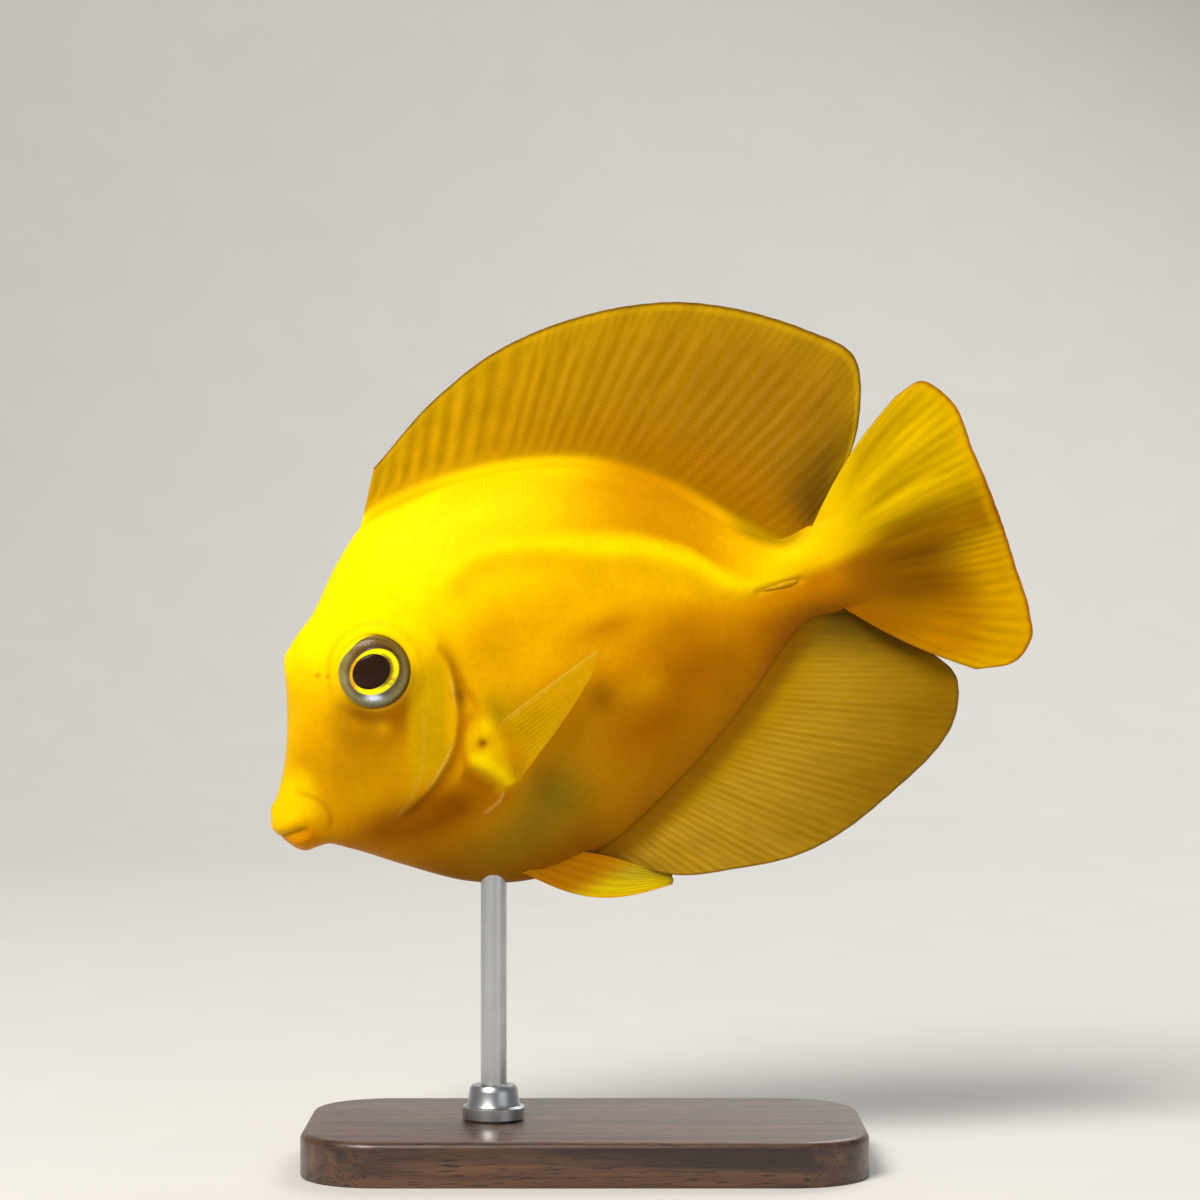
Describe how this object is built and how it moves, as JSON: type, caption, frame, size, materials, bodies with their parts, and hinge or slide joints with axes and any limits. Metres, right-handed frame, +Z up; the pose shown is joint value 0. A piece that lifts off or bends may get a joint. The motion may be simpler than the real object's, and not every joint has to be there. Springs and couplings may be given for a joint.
{
  "type": "chocolate surgeonfish model",
  "caption": "Young chocolate surgeonfish in its all-yellow coat, swimming nose down with its fins spread, held over a plain wooden base by a short steel rod.",
  "frame": {"origin": "centre of the stand base's underside", "axes": "+Z up, -X towards the fish's snout, -Y towards the fish's left side"},
  "size_m": [0.0869, 0.034, 0.0989],
  "materials": {
    "yellow_skin": "moist, finely scaled yellow skin with a soft sheen",
    "yellow_fins": "thin olive-yellow membrane over paler rays, satin",
    "eye": "glossy, with a dark pupil, gold iris ring and grey-olive outer ring",
    "spine_horn": "smooth pale horn",
    "stand_wood": "dark wood with fine grain and a satin lacquer",
    "stand_steel": "turned and brushed"
  },
  "bodies": {
    "root": {"head": "yellow_skin", "lower_jaw": "yellow_skin", "gill_cover_left": "yellow_skin", "gill_cover_right": "yellow_skin", "trunk": "yellow_skin", "tail_stalk": "yellow_skin", "dorsal_fin": "yellow_fins", "anal_fin": "yellow_fins", "tail_fin": "yellow_fins", "pectoral_fin_left": "yellow_fins", "pectoral_fin_right": "yellow_fins", "pelvic_fin_left": "yellow_fins", "pelvic_fin_right": "yellow_fins", "eye_left": "eye", "eye_right": "eye", "tail_spine_left": "spine_horn", "tail_spine_right": "spine_horn", "stand_base": "stand_wood", "stand_collar": "stand_steel", "stand_rod": "stand_steel"}
  },
  "joints": []
}
